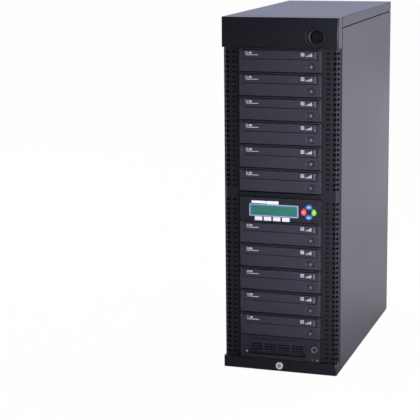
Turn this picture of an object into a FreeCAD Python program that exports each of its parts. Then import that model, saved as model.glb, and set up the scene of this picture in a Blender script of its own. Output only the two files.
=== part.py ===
import FreeCAD, Part
import math
import os

# Tower disc duplicator: eleven optical drives, a control panel and a removable disk rack in thirteen
# half-height bays. Millimetres, front towards -Y, +Z up, origin under the middle of the whole tower.

# Tower
WIDTH = 210.0
CASE_DEPTH = 457.0
FOOT_HEIGHT = 4.0

# Bays, from the floor up
SILL_HEIGHT = 20.7
BAY_HEIGHT = 42.5
LOWER_DRIVES = 5
BAND_HEIGHT = 9.8
UPPER_DRIVES = 6
CAP_HEIGHT = 53.0

# Sheet metal
SHEET = 1.2
COVER = 1.0
SEAM = 1.8
BEZEL_SEAM = 3.0
SKIRT_HEIGHT = 18.0
LAP_HEIGHT = 9.0
REAR_FLANGE = 14.0
PAN_FLANGE = 14.0
CAGE_DEPTH = 172.0
CAGE_REAR_FLANGE = 18.0
CAGE_CLEARANCE = 0.3

# Front mouldings
BEZEL_DEPTH = 26.0
BEZEL_WALL = 2.6
BEZEL_CORNER = 3.0
COLUMN_RECESS = 9.0
COLUMN_CORNER = 5.5
COLUMN_JOIN = 0.2
MID_BAR_RECESS = 5.0
MID_BAR_GAP = 1.5
EDGE_BREAK = 1.2

# Vents in the front columns
VENT_PITCH = 8.8
VENT_HEIGHT = 4.6
VENT_WIDTH = 5.4
VENT_INSET = 8.5
CORNER_VENT_WIDTH = 5.0
VENT_MARGIN = 3.5

# Optical drives
DRIVE_FACE_SET_BACK = 2.5
DRIVE_FACE_WIDTH = 148.0
DRIVE_FACE_THICKNESS = 6.0
BAY_GAP = 1.0
COLUMN_GAP = 0.3
CASING_WIDTH = 146.0
CASING_HEIGHT = 41.3
CASING_DEPTH = 170.0
CASING_WALL = 1.0
DOOR_WIDTH = 134.0
DOOR_HEIGHT = 14.4
DOOR_THICKNESS = 4.0
DOOR_DROP = 4.6
DOOR_GAP = 0.8
DOOR_PROUD = 0.7
CREASE_DROP = 29.5
CREASE_SET_BACK = 1.2
TRAY_WIDTH = 128.0
TRAY_HEIGHT = 8.0
TRAY_LENGTH = 158.0
TRAY_LIFT = 2.5
TRAY_FLOOR = 2.0
TRAY_SLOT_WIDTH = 34.0
TRAY_SLOT_LENGTH = 62.0
DISC_SEAT_RADIUS = 60.6
DISC_CENTRE_BACK = 65.0
DECK_THICKNESS = 3.0
RUNNING_GAP = 0.3
EJECT_RADIUS = 5.7
EJECT_SIDES = 16
EJECT_GAP = 0.5
EJECT_X = 56.0
EJECT_DROP = 31.7
EJECT_LENGTH = 5.2
EJECT_PROUD = 0.8
PANEL_BREAK = 0.5

# Power button in the cap
POWER_INSET = 39.0
POWER_DROP = 33.0
POWER_RADIUS = 11.0
POWER_BOSS_RADIUS = 7.8
POWER_FLANGE_DEPTH = 3.4
POWER_RIM_WIDTH = 2.4
POWER_DISH_RADIUS = 19.0
POWER_DISH_DEPTH = 1.2
POWER_LENGTH = 9.0
POWER_DIMPLE_RADIUS = 40.0
POWER_DIMPLE_DEPTH = 0.5

# Control panel
DISPLAY_X = -11.0
DISPLAY_DROP = 23.2
DISPLAY_WIDTH = 90.0
DISPLAY_HEIGHT = 22.4
DISPLAY_CORNER = 2.5
DISPLAY_PROUD = 1.4
DISPLAY_LIP = 1.0
DISPLAY_COLLAR_WALL = 0.8
DISPLAY_BORDER = 2.2
SCREEN_THICKNESS = 3.0
KEYPAD_X = 53.0
KEYPAD_DROP = 23.0
KEY_OFFSET = 5.1
KEY_INNER_WIDTH = 10.0
KEY_OUTER_WIDTH = 12.4
KEY_SHOULDER = 3.6
KEY_HEIGHT = 8.7
KEY_CORNER = 1.3
KEY_LENGTH = 6.0
KEY_PROUD = 1.2
KEY_GAP = 0.35
BOARD_WIDTH = 138.0
BOARD_HEIGHT = 36.0
BOARD_THICKNESS = 1.6
BOARD_STANDOFF = 5.5
PILLAR_SIZE = 6.0
PILLAR_INSET = 4.0
CHIP_SIZE = 22.0
CHIP_HEIGHT = 3.0
SOCKET_WIDTH = 34.0
SOCKET_HEIGHT = 9.0
SOCKET_LENGTH = 12.0

# Removable disk rack
RACK_SLEEVE_DEPTH = 200.0
RACK_TRAY_LEFT = 66.0
RACK_TRAY_RIGHT = 52.0
RACK_TRAY_HEIGHT = 35.6
RACK_TRAY_LENGTH = 188.0
RACK_TRAY_WALL = 3.0
RACK_PANEL_THICKNESS = 13.0
RACK_GAP = 0.4
RACK_SIDE_HEIGHT = 24.0
HANDLE_LEFT = 58.0
HANDLE_RIGHT = 47.0
HANDLE_HEIGHT = 21.0
HANDLE_THICKNESS = 5.0
HANDLE_SET_BACK = 0.8
HANDLE_GAP = 0.5
HANDLE_DROP = 2.6
FINGER_GAP = 8.0
FINGER_DEPTH = 10.0
PIN_RADIUS = 1.5
PIN_LENGTH = 1.8
PIN_GAP = 0.2
LOUVRE_WINDOWS = 4
LOUVRE_WINDOW_WIDTH = 21.0
LOUVRE_SLOTS = 3
LOUVRE_SLOT_HEIGHT = 2.8
LOUVRE_PITCH = 4.6
RACK_LOCK_X = 64.0
RACK_LOCK_DROP = 18.0
DISK_WIDTH = 101.6
DISK_HEIGHT = 26.1
DISK_LENGTH = 147.0
DISK_SET_BACK = 18.0
DISK_SIDE_ROOM = 1.0
DISK_LID_INSET = 4.0
DISK_LID_HEIGHT = 1.5

# Key locks
LOCK_HEAD_RADIUS = 6.6
LOCK_HEAD_LENGTH = 2.0
LOCK_BARREL_RADIUS = 5.4
LOCK_BARREL_LENGTH = 15.0
LOCK_GAP = 0.3
KEYWAY_WIDTH = 1.6
KEYWAY_HEIGHT = 6.4
KEYWAY_DEPTH = 4.0

# Feet
FOOT_RADIUS = 12.0
FOOT_TOP_RADIUS = 13.5
FOOT_INSET = 32.0

# Power supply and fan
PSU_WIDTH = 150.0
PSU_HEIGHT = 86.0
PSU_LENGTH = 140.0
PSU_WALL = 1.2
PSU_EDGE = 8.0
INLET_X = -52.0
INLET_WIDTH = 24.6
INLET_HEIGHT = 17.2
INLET_CORNER = 4.5
INLET_DEPTH = 16.0
INLET_WALL = 2.0
INLET_PIN_LENGTH = 10.5
INLET_PIN_WIDTH = 2.0
INLET_PIN_HEIGHT = 4.0
INLET_PIN_SPREAD = 7.0
INLET_PIN_OFFSET = 2.0
ROCKER_X = -20.0
ROCKER_WIDTH = 12.6
ROCKER_RADIUS = 9.2
ROCKER_GAP = 0.4
ROCKER_TILT = 8.0
ROCKER_PIVOT_DEPTH = 4.0
ROCKER_VALLEY_DEPTH = 0.6
PSU_DROP = 24.0
PSU_VENT_WIDTH = 64.0
PSU_VENT_X = 30.0
PSU_VENT_ROWS = 7
PSU_VENT_PITCH = 9.0
PSU_VENT_HEIGHT = 4.5
PSU_PLATE_HEIGHT = 104.0
FAN_SIZE = 120.0
FAN_DEPTH = 25.0
FAN_BORE_RADIUS = 57.5
FAN_HUB_RADIUS = 20.0
FAN_STRUT_WIDTH = 6.0
FAN_MOTOR_THICKNESS = 4.0
FAN_ROTOR_DEPTH = 18.0
FAN_TIP_GAP = 1.2
FAN_SHAFT_RADIUS = 2.0
FAN_BLADES = 5
FAN_BLADE_THICKNESS = 1.8
FAN_BLADE_PITCH = 40.0
GRILLE_ROWS = 11
GRILLE_PITCH = 9.6
GRILLE_SLOT_HEIGHT = 6.0

# Levels and planes that follow
CASE_BOTTOM = FOOT_HEIGHT
RACK_BOTTOM = CASE_BOTTOM + SILL_HEIGHT
LOWER_BOTTOM = RACK_BOTTOM + BAY_HEIGHT
CONTROL_BOTTOM = LOWER_BOTTOM + LOWER_DRIVES * BAY_HEIGHT
BAND_BOTTOM = CONTROL_BOTTOM + BAY_HEIGHT
UPPER_BOTTOM = BAND_BOTTOM + BAND_HEIGHT
CAP_BOTTOM = UPPER_BOTTOM + UPPER_DRIVES * BAY_HEIGHT
TOP = CAP_BOTTOM + CAP_HEIGHT
HALF_WIDTH = WIDTH / 2
INNER_HALF = HALF_WIDTH - COVER
LOCK_STAND = LOCK_GAP + LOCK_HEAD_LENGTH
FRONT = (LOCK_STAND - CASE_DEPTH) / 2
BACK = FRONT + CASE_DEPTH
BEZEL_BACK = FRONT + BEZEL_DEPTH
PANEL_FRONT = BEZEL_BACK + BEZEL_SEAM
PANEL_BACK = BACK - COVER
CHASSIS_BACK = PANEL_BACK - SHEET
PAN_TOP = CASE_BOTTOM + SHEET
FACE = FRONT + DRIVE_FACE_SET_BACK
FACE_BACK = FACE + DRIVE_FACE_THICKNESS
FACE_HALF = DRIVE_FACE_WIDTH / 2
FACE_HEIGHT = BAY_HEIGHT - BAY_GAP
CASING_BACK = FACE_BACK + CASING_DEPTH
CASING_MARGIN = (BAY_HEIGHT - CASING_HEIGHT) / 2
COLUMN_INNER = FACE_HALF + COLUMN_GAP
COLUMN_FACE = FRONT + COLUMN_RECESS
CAGE_INNER = CASING_WIDTH / 2 + CAGE_CLEARANCE
DRIVE_LEVELS = [UPPER_BOTTOM + i * BAY_HEIGHT for i in reversed(range(UPPER_DRIVES))]
DRIVE_LEVELS += [LOWER_BOTTOM + i * BAY_HEIGHT for i in reversed(range(LOWER_DRIVES))]
FAN_LEVEL = (PAN_TOP + PSU_PLATE_HEIGHT + TOP) / 2
PANEL_TOP = TOP - SKIRT_HEIGHT - SEAM
BOARD_FRONT = FACE_BACK + BOARD_STANDOFF
KEYPAD_Z = CONTROL_BOTTOM + BAY_HEIGHT - KEYPAD_DROP
DISPLAY_Z = CONTROL_BOTTOM + BAY_HEIGHT - DISPLAY_DROP
RACK_TOP = RACK_BOTTOM + BAY_HEIGHT
RACK_TRAY_MIDDLE = (RACK_TRAY_RIGHT - RACK_TRAY_LEFT) / 2
RACK_TRAY_BOTTOM = RACK_BOTTOM + (BAY_HEIGHT - RACK_TRAY_HEIGHT) / 2
RACK_TRAY_TOP = RACK_TRAY_BOTTOM + RACK_TRAY_HEIGHT
HANDLE_TOP = RACK_TRAY_TOP - HANDLE_DROP - HANDLE_GAP
HANDLE_BOTTOM = HANDLE_TOP - HANDLE_HEIGHT
HANDLE_FRONT = FACE + HANDLE_SET_BACK
HANDLE_AXIS_Y = HANDLE_FRONT + HANDLE_THICKNESS / 2
HANDLE_AXIS_Z = HANDLE_TOP - HANDLE_THICKNESS / 2
SILL_LOCK_Z = CASE_BOTTOM + SILL_HEIGHT / 2
POWER_X = HALF_WIDTH - POWER_INSET
POWER_Z = TOP - POWER_DROP
PSU_BACK = CHASSIS_BACK
INLET_Z = PAN_TOP + PSU_HEIGHT - PSU_DROP


def vector(x, y, z):
    return FreeCAD.Vector(x, y, z)


def box(x0, x1, y0, y1, z0, z1):
    return Part.makeBox(x1 - x0, y1 - y0, z1 - z0, vector(x0, y0, z0))


def rod(radius, x, y0, y1, z):
    """Cylinder along Y."""
    return Part.makeCylinder(radius, y1 - y0, vector(x, y0, z), vector(0, 1, 0))


def prism(points, travel):
    """Closed outline of points, pushed along the travel vector."""
    wire = Part.makePolygon(points + points[:1])
    return Part.Face(wire).extrude(travel)


def many_sided(radius, sides, x, y0, y1, z):
    """Regular prism along Y, for the small round pieces that repeat."""
    corners = []
    for count in range(sides):
        angle = 2 * math.pi * count / sides
        corners.append(vector(x + radius * math.cos(angle), y0, z + radius * math.sin(angle)))
    return prism(corners, vector(0, y1 - y0, 0))


def mirror_x(shape):
    return shape.mirror(vector(0, 0, 0), vector(1, 0, 0))


def one(shape):
    """The single clean solid of a boolean result."""
    return shape.removeSplitter().Solids[0]


def joined(first, *others):
    return one(first.multiFuse(list(others)))


def without(shape, *tools):
    return one(shape.cut(list(tools)))


def edges_along(shape, axis, test):
    """Straight edges parallel to the axis whose middle passes the test."""
    found = []
    for edge in shape.Edges:
        if not isinstance(edge.Curve, Part.Line):
            continue
        if edge.Curve.Direction.cross(axis).Length < 1e-6 and test(edge.CenterOfMass):
            found.append(edge)
    return found


def save(name, *solids):
    shape = solids[0] if len(solids) == 1 else Part.makeCompound(list(solids))
    shape.exportStep("parts/" + name + ".step")


def base_pan():
    outer = box(-INNER_HALF, INNER_HALF, BEZEL_BACK + SHEET, CHASSIS_BACK, CASE_BOTTOM, PAN_TOP + PAN_FLANGE)
    hollow_half = INNER_HALF - SHEET
    hollow = box(-hollow_half, hollow_half, BEZEL_BACK, BACK, PAN_TOP, TOP)
    return without(outer, hollow)


def top_cover():
    outer = box(-HALF_WIDTH, HALF_WIDTH, PANEL_FRONT, BACK, TOP - SKIRT_HEIGHT, TOP)
    rims = edges_along(outer, vector(0, 1, 0), lambda at: at.z > TOP - EDGE_BREAK)
    outer = outer.makeFillet(EDGE_BREAK, rims)
    hollow = box(-INNER_HALF, INNER_HALF, FRONT, PANEL_BACK, CASE_BOTTOM, TOP - COVER)
    below_flange = box(-INNER_HALF, INNER_HALF, FRONT, BACK, CASE_BOTTOM, TOP - REAR_FLANGE)
    return without(outer, hollow, below_flange)


def right_side_panel():
    sheet = box(INNER_HALF, HALF_WIDTH, PANEL_FRONT, BACK, CASE_BOTTOM, PANEL_TOP)
    flange = box(HALF_WIDTH - REAR_FLANGE, HALF_WIDTH, PANEL_BACK, BACK, CASE_BOTTOM, PANEL_TOP)
    lap_outer = INNER_HALF - CAGE_CLEARANCE
    lap_inner = lap_outer - COVER
    lap_y = BEZEL_BACK + SHEET + SEAM
    joggle = [
        vector(INNER_HALF, lap_y, PANEL_TOP - COVER),
        vector(INNER_HALF, lap_y, PANEL_TOP),
        vector(lap_outer, lap_y, PANEL_TOP),
        vector(lap_outer, lap_y, PANEL_TOP + LAP_HEIGHT),
        vector(lap_inner, lap_y, PANEL_TOP + LAP_HEIGHT),
        vector(lap_inner, lap_y, PANEL_TOP - COVER),
    ]
    lap = prism(joggle, vector(0, CHASSIS_BACK - SEAM - lap_y, 0))
    return joined(sheet, flange, lap)


def right_cage_wall():
    """Drive wall with a flange at the front that carries the mouldings, and one at the back."""
    outline = [
        vector(CAGE_INNER, BEZEL_BACK, PAN_TOP),
        vector(INNER_HALF, BEZEL_BACK, PAN_TOP),
        vector(INNER_HALF, BEZEL_BACK + SHEET, PAN_TOP),
        vector(CAGE_INNER + SHEET, BEZEL_BACK + SHEET, PAN_TOP),
        vector(CAGE_INNER + SHEET, BEZEL_BACK + CAGE_DEPTH - SHEET, PAN_TOP),
        vector(CAGE_INNER + CAGE_REAR_FLANGE, BEZEL_BACK + CAGE_DEPTH - SHEET, PAN_TOP),
        vector(CAGE_INNER + CAGE_REAR_FLANGE, BEZEL_BACK + CAGE_DEPTH, PAN_TOP),
        vector(CAGE_INNER, BEZEL_BACK + CAGE_DEPTH, PAN_TOP),
    ]
    return one(prism(outline, vector(0, 0, TOP - COVER - PAN_TOP)))


def slot_rows(x, z, rows, pitch, height, half_width_at):
    """Level slots through the rear sheets, each as wide as the rule allows at its height."""
    slots = []
    for row in range(rows):
        rise = (row - (rows - 1) / 2) * pitch
        half = half_width_at(rise)
        low = z + rise - height / 2
        slots.append(box(x - half, x + half, CHASSIS_BACK - PSU_WALL, BACK, low, low + height))
    return slots


def rear_panel():
    """Upper rear sheet, with a round field of cooling slots over the fan."""
    sheet = box(-INNER_HALF, INNER_HALF, CHASSIS_BACK, PANEL_BACK, PAN_TOP + PSU_PLATE_HEIGHT, TOP - COVER)
    reach = FAN_BORE_RADIUS - GRILLE_SLOT_HEIGHT / 2
    slots = slot_rows(0, FAN_LEVEL, GRILLE_ROWS, GRILLE_PITCH, GRILLE_SLOT_HEIGHT,
                      lambda rise: math.sqrt(reach ** 2 - rise ** 2))
    return without(sheet, *slots)


def supply_plate():
    """Removable plate around the rear face of the power supply."""
    plate = box(-INNER_HALF, INNER_HALF, CHASSIS_BACK, PANEL_BACK, PAN_TOP, PAN_TOP + PSU_PLATE_HEIGHT)
    half = PSU_WIDTH / 2 - PSU_EDGE
    opening = box(-half, half, FRONT, BACK, PAN_TOP + PSU_EDGE, PAN_TOP + PSU_HEIGHT - PSU_EDGE)
    return without(plate, opening)


def feet():
    solids = []
    for x in (-HALF_WIDTH + FOOT_INSET, HALF_WIDTH - FOOT_INSET):
        for y in (FRONT + FOOT_INSET, BACK - FOOT_INSET):
            solids.append(Part.makeCone(FOOT_RADIUS, FOOT_TOP_RADIUS, FOOT_HEIGHT, vector(x, y, 0)))
    return solids


def hollow_front(low, high):
    """Full-width moulding, open at the back, with rounded front corners."""
    outer = box(-HALF_WIDTH, HALF_WIDTH, FRONT, BEZEL_BACK, low, high)
    corners = edges_along(outer, vector(0, 0, 1), lambda at: at.y < FRONT + EDGE_BREAK)
    outer = outer.makeFillet(BEZEL_CORNER, corners)
    half = HALF_WIDTH - BEZEL_WALL
    hollow = box(-half, half, FRONT + BEZEL_WALL, BACK, low + BEZEL_WALL, high - BEZEL_WALL)
    return without(outer, hollow)


def bezel_cap():
    shell = hollow_front(CAP_BOTTOM, TOP)
    dish = rod(POWER_DISH_RADIUS, POWER_X, FRONT, FRONT + POWER_DISH_DEPTH, POWER_Z)
    rim_radius = POWER_RADIUS + RUNNING_GAP + POWER_RIM_WIDTH
    rim = rod(rim_radius, POWER_X, FRONT, FRONT + BEZEL_WALL, POWER_Z)
    hole = rod(POWER_RADIUS + RUNNING_GAP, POWER_X, FRONT, BEZEL_BACK, POWER_Z)
    return without(joined(without(shell, dish), rim), hole)


def power_button():
    """Push button with a sunk flange around its boss and a shallow dimple for the fingertip."""
    flange = rod(POWER_RADIUS, POWER_X, FRONT + POWER_FLANGE_DEPTH, FRONT + POWER_LENGTH, POWER_Z)
    boss = rod(POWER_BOSS_RADIUS, POWER_X, FRONT, FRONT + POWER_LENGTH, POWER_Z)
    centre_y = FRONT + POWER_DIMPLE_DEPTH - POWER_DIMPLE_RADIUS
    dimple = Part.makeSphere(POWER_DIMPLE_RADIUS, vector(POWER_X, centre_y, POWER_Z))
    return without(joined(flange, boss), dimple)


def vent_levels(low, high):
    """Row heights of a vent block, centred between its ends."""
    rows = int((high - low - 2 * VENT_MARGIN) // VENT_PITCH)
    middle = (low + high) / 2
    return [middle + (row - (rows - 1) / 2) * VENT_PITCH for row in range(rows)]


def right_bezel_column():
    """Vented strip beside the bays, with a cut-off outer corner, open at the back."""
    low = RACK_BOTTOM + COLUMN_JOIN
    high = CAP_BOTTOM - COLUMN_JOIN
    outer = box(COLUMN_INNER, HALF_WIDTH, COLUMN_FACE, BEZEL_BACK, low, high)
    outer_edge = edges_along(outer, vector(0, 0, 1),
                             lambda at: at.y < COLUMN_FACE + EDGE_BREAK and at.x > HALF_WIDTH - EDGE_BREAK)
    outer = outer.makeChamfer(COLUMN_CORNER, outer_edge)
    inside = COLUMN_FACE + BEZEL_WALL
    hollow = box(COLUMN_INNER + BEZEL_WALL, HALF_WIDTH - BEZEL_WALL, inside, BACK, low - SEAM, high + SEAM)
    inner_edge = edges_along(hollow, vector(0, 0, 1),
                             lambda at: at.y < inside + EDGE_BREAK and at.x > COLUMN_INNER + 2 * BEZEL_WALL)
    hollow = hollow.makeChamfer(COLUMN_CORNER - BEZEL_WALL * (2 - math.sqrt(2)), inner_edge)
    x = HALF_WIDTH - VENT_INSET
    tools = [hollow]
    for z in vent_levels(RACK_BOTTOM, BAND_BOTTOM) + vent_levels(UPPER_BOTTOM, CAP_BOTTOM):
        low = z - VENT_HEIGHT / 2
        tools.append(box(x - VENT_WIDTH / 2, x + VENT_WIDTH / 2, FRONT, BEZEL_BACK, low, low + VENT_HEIGHT))
        half = CORNER_VENT_WIDTH / 2
        wrap = box(-2 * BEZEL_WALL, BEZEL_WALL, -half, half, low, low + VENT_HEIGHT)
        wrap.rotate(vector(0, 0, 0), vector(0, 0, 1), -45)
        wrap.translate(vector(HALF_WIDTH - COLUMN_CORNER / 2, COLUMN_FACE + COLUMN_CORNER / 2, 0))
        tools.append(wrap)
    return without(outer, *tools)


def bezel_mid_bar():
    low = BAND_BOTTOM
    high = UPPER_BOTTOM - MID_BAR_GAP
    face = FRONT + MID_BAR_RECESS
    bar = box(-COLUMN_INNER, COLUMN_INNER, face, BEZEL_BACK, low, high)
    rims = edges_along(bar, vector(1, 0, 0), lambda at: at.y < face + EDGE_BREAK)
    bar = bar.makeFillet(EDGE_BREAK, rims)
    half = COLUMN_INNER - BEZEL_WALL
    return without(bar, box(-half, half, face + BEZEL_WALL, BACK, low + BEZEL_WALL, high - BEZEL_WALL))


def bezel_sill():
    shell = hollow_front(CASE_BOTTOM, RACK_BOTTOM)
    hole = rod(LOCK_BARREL_RADIUS + LOCK_GAP, 0, FRONT, BEZEL_BACK, SILL_LOCK_Z)
    return without(shell, hole)


def key_lock(x, face, z):
    """Round lock with a keyway, proud of the face that it sits in."""
    head = rod(LOCK_HEAD_RADIUS, x, face - LOCK_STAND, face - LOCK_GAP, z)
    barrel = rod(LOCK_BARREL_RADIUS, x, face - LOCK_HEAD_LENGTH, face + LOCK_BARREL_LENGTH, z)
    front = face - LOCK_STAND
    half = KEYWAY_WIDTH / 2
    reach = KEYWAY_HEIGHT / 2
    keyway = box(x - half, x + half, front, front + KEYWAY_DEPTH, z - reach, z + reach)
    return without(joined(head, barrel), keyway)


def drive_bezel(level):
    """Front of one optical drive: door opening, button hole and a face that leans back below the crease."""
    low = level + BAY_GAP / 2
    high = low + FACE_HEIGHT
    outline = [
        vector(-FACE_HALF, FACE, high),
        vector(-FACE_HALF, FACE_BACK, high),
        vector(-FACE_HALF, FACE_BACK, low),
        vector(-FACE_HALF, FACE + CREASE_SET_BACK, low),
        vector(-FACE_HALF, FACE, level + BAY_HEIGHT - CREASE_DROP),
    ]
    plate = prism(outline, vector(DRIVE_FACE_WIDTH, 0, 0))
    half = DOOR_WIDTH / 2 + DOOR_GAP
    door_top = level + BAY_HEIGHT - DOOR_DROP
    opening = box(-half, half, FRONT, FACE_BACK, door_top - DOOR_HEIGHT - DOOR_GAP, door_top + DOOR_GAP)
    hole_z = level + BAY_HEIGHT - EJECT_DROP
    hole = many_sided(EJECT_RADIUS + EJECT_GAP, EJECT_SIDES, EJECT_X, FRONT, FACE_BACK, hole_z)
    return without(plate, opening, hole)


def tray_bottom(level):
    return level + BAY_HEIGHT - DOOR_DROP - DOOR_HEIGHT + TRAY_LIFT


def drive_casing(level):
    """Sheet drive body, open behind the bezel, with the deck that the tray runs on."""
    low = level + CASING_MARGIN
    half = CASING_WIDTH / 2
    inner = half - CASING_WALL
    high = low + CASING_HEIGHT
    shell = box(-half, half, FACE_BACK, CASING_BACK, low, high)
    hollow = box(-inner, inner, FRONT, CASING_BACK - CASING_WALL, low + CASING_WALL, high - CASING_WALL)
    deck_top = tray_bottom(level) - RUNNING_GAP
    deck = box(-inner, inner, FACE_BACK, CASING_BACK - CASING_WALL, deck_top - DECK_THICKNESS, deck_top)
    return joined(without(shell, hollow), deck)


def drive_tray(level):
    """Disc tray with its clip-on door."""
    half = TRAY_WIDTH / 2
    door_front = FACE - DOOR_PROUD
    door_top = level + BAY_HEIGHT - DOOR_DROP
    door_back = door_front + DOOR_THICKNESS
    door = box(-DOOR_WIDTH / 2, DOOR_WIDTH / 2, door_front, door_back, door_top - DOOR_HEIGHT, door_top)
    low = tray_bottom(level)
    centre_y = door_back + DISC_CENTRE_BACK
    plate = box(-half, half, door_back, door_back + TRAY_LENGTH, low, low + TRAY_HEIGHT)
    seat = Part.makeCylinder(DISC_SEAT_RADIUS, TRAY_HEIGHT, vector(0, centre_y, low + TRAY_FLOOR))
    slot_half = TRAY_SLOT_WIDTH / 2
    slot_y = centre_y - slot_half
    slot = box(-slot_half, slot_half, slot_y, slot_y + TRAY_SLOT_LENGTH, low, low + TRAY_HEIGHT)
    return without(plate, seat, slot), door


def eject_button(level):
    z = level + BAY_HEIGHT - EJECT_DROP
    front = FACE - EJECT_PROUD
    return many_sided(EJECT_RADIUS, EJECT_SIDES, EJECT_X, front, front + EJECT_LENGTH, z)


def key_prism(turn, grow, y0, y1):
    """Petal-shaped key pointing away from the middle of the pad, turned about it in degrees."""
    inner = KEY_INNER_WIDTH / 2 + grow
    outer = KEY_OUTER_WIDTH / 2 + grow
    base = KEY_OFFSET - grow
    shoulder = KEY_OFFSET + KEY_SHOULDER
    tip = KEY_OFFSET + KEY_HEIGHT + grow
    arc = Part.Arc(vector(-outer, y0, shoulder), vector(0, y0, tip), vector(outer, y0, shoulder)).toShape()
    cut = inner - KEY_CORNER
    rise = base + KEY_CORNER
    sides = Part.makePolygon([vector(outer, y0, shoulder), vector(inner, y0, rise), vector(cut, y0, base),
                              vector(-cut, y0, base), vector(-inner, y0, rise), vector(-outer, y0, shoulder)])
    key = Part.Face(Part.Wire([arc] + sides.Edges)).extrude(vector(0, y1 - y0, 0))
    key.rotate(vector(0, 0, 0), vector(0, 1, 0), turn)
    key.translate(vector(KEYPAD_X, 0, KEYPAD_Z))
    return key


KEY_TURNS = {"key_up": 0, "key_enter": 90, "key_down": 180, "key_cancel": 270}


def key(turn):
    front = FACE - KEY_PROUD
    return one(key_prism(turn, 0, front, front + KEY_LENGTH))


def display_block(shrink, y0, y1):
    """Block on the middle of the display, smaller than its frame by the given amount all round."""
    half_x = DISPLAY_WIDTH / 2 - shrink
    half_z = DISPLAY_HEIGHT / 2 - shrink
    return box(DISPLAY_X - half_x, DISPLAY_X + half_x, y0, y1, DISPLAY_Z - half_z, DISPLAY_Z + half_z)


def control_fascia():
    """Blank bay plate cut for the display and keys, with pillars for the board behind it."""
    low = CONTROL_BOTTOM + BAY_GAP / 2
    plate = box(-FACE_HALF, FACE_HALF, FACE, FACE_BACK, low, low + FACE_HEIGHT)
    sides = edges_along(plate, vector(0, 0, 1), lambda at: at.y < FACE + PANEL_BREAK)
    plate = plate.makeChamfer(PANEL_BREAK, sides)
    middle = low + FACE_HEIGHT / 2
    half = PILLAR_SIZE / 2
    pillars = []
    for x in (-BOARD_WIDTH / 2 + PILLAR_INSET, BOARD_WIDTH / 2 - PILLAR_INSET):
        for z in (middle - BOARD_HEIGHT / 2 + PILLAR_INSET, middle + BOARD_HEIGHT / 2 - PILLAR_INSET):
            pillars.append(box(x - half, x + half, FACE_BACK, BOARD_FRONT, z - half, z + half))
    holes = [key_prism(turn, KEY_GAP, FRONT, FACE_BACK) for turn in KEY_TURNS.values()]
    holes.append(display_block(DISPLAY_LIP - RUNNING_GAP, FRONT, FACE_BACK))
    return without(joined(plate, *pillars), *holes)


def display_frame():
    lip = display_block(0, FACE - DISPLAY_PROUD, FACE)
    lip = lip.makeFillet(DISPLAY_CORNER, edges_along(lip, vector(0, 1, 0), lambda at: True))
    collar = display_block(DISPLAY_LIP, FACE, FACE_BACK)
    window = display_block(DISPLAY_BORDER, FRONT - DISPLAY_PROUD, FACE_BACK)
    pocket = display_block(DISPLAY_LIP + DISPLAY_COLLAR_WALL, FACE, FACE_BACK)
    return without(joined(lip, collar), window, pocket)


def lcd_screen():
    return display_block(DISPLAY_LIP + DISPLAY_COLLAR_WALL + KEY_GAP / 2, FACE, FACE + SCREEN_THICKNESS)


def controller_board():
    middle = CONTROL_BOTTOM + BAY_HEIGHT / 2
    half = BOARD_HEIGHT / 2
    back = BOARD_FRONT + BOARD_THICKNESS
    board = box(-BOARD_WIDTH / 2, BOARD_WIDTH / 2, BOARD_FRONT, back, middle - half, middle + half)
    chip_half = CHIP_SIZE / 2
    chip = box(-chip_half, chip_half, back, back + CHIP_HEIGHT, middle - chip_half, middle + chip_half)
    socket_x = BOARD_WIDTH / 2 - PILLAR_INSET * 2 - SOCKET_WIDTH
    socket = box(socket_x, socket_x + SOCKET_WIDTH, back, back + SOCKET_LENGTH,
                 middle - SOCKET_HEIGHT, middle)
    return joined(board, chip, socket, mirror_x(socket))


def rack_frame():
    """Bay plate and sleeve of the disk rack in one moulding."""
    low = RACK_BOTTOM + BAY_GAP / 2
    half = CASING_WIDTH / 2
    plate = box(-FACE_HALF, FACE_HALF, FACE, FACE_BACK, low, low + FACE_HEIGHT)
    sides = edges_along(plate, vector(0, 0, 1), lambda at: at.y < FACE + PANEL_BREAK)
    plate = plate.makeChamfer(PANEL_BREAK, sides)
    sleeve_back = FACE_BACK + RACK_SLEEVE_DEPTH
    sleeve_low = RACK_BOTTOM + CASING_MARGIN
    sleeve = box(-half, half, FACE_BACK, sleeve_back, sleeve_low, sleeve_low + CASING_HEIGHT)
    tunnel = box(-RACK_TRAY_LEFT - RACK_GAP, RACK_TRAY_RIGHT + RACK_GAP, FRONT, sleeve_back - RACK_TRAY_WALL,
                 RACK_TRAY_BOTTOM - RACK_GAP, RACK_TRAY_TOP + RACK_GAP)
    hole = rod(LOCK_BARREL_RADIUS + LOCK_GAP, RACK_LOCK_X, FRONT, FACE + LOCK_BARREL_LENGTH + LOCK_GAP,
               RACK_TOP - RACK_LOCK_DROP)
    return without(joined(plate, sleeve), tunnel, hole)


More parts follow.
